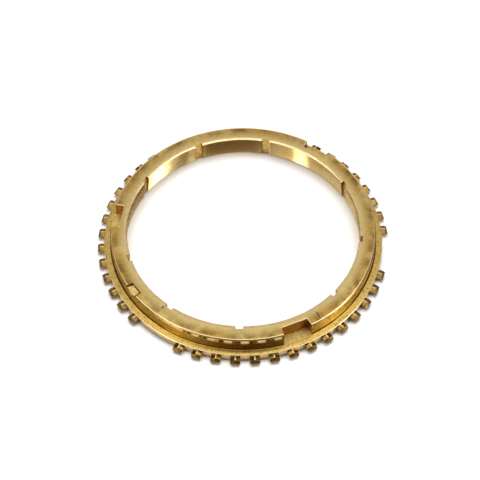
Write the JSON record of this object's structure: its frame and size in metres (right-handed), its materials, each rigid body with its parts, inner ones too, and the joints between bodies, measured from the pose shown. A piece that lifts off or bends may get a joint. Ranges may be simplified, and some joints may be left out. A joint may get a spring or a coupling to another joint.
{
  "type": "synchronizer ring",
  "caption": "Flat brass blocker ring for a manual gearbox: conical bore with oil grooves, notches for the keys, and roof-shaped teeth round the flange.",
  "frame": {"origin": "on the ring's axis, in the plane of the flat gear-side face", "axes": "+Z along the ring's axis from the flange to the hub's top face; one key notch faces -Y"},
  "size_m": [0.1324, 0.1315, 0.011],
  "materials": {
    "brass": "bare forged and turned brass, dull on the faces and bright on the turned walls"
  },
  "bodies": {
    "root": {"synchronizer_ring": "brass"}
  },
  "joints": []
}
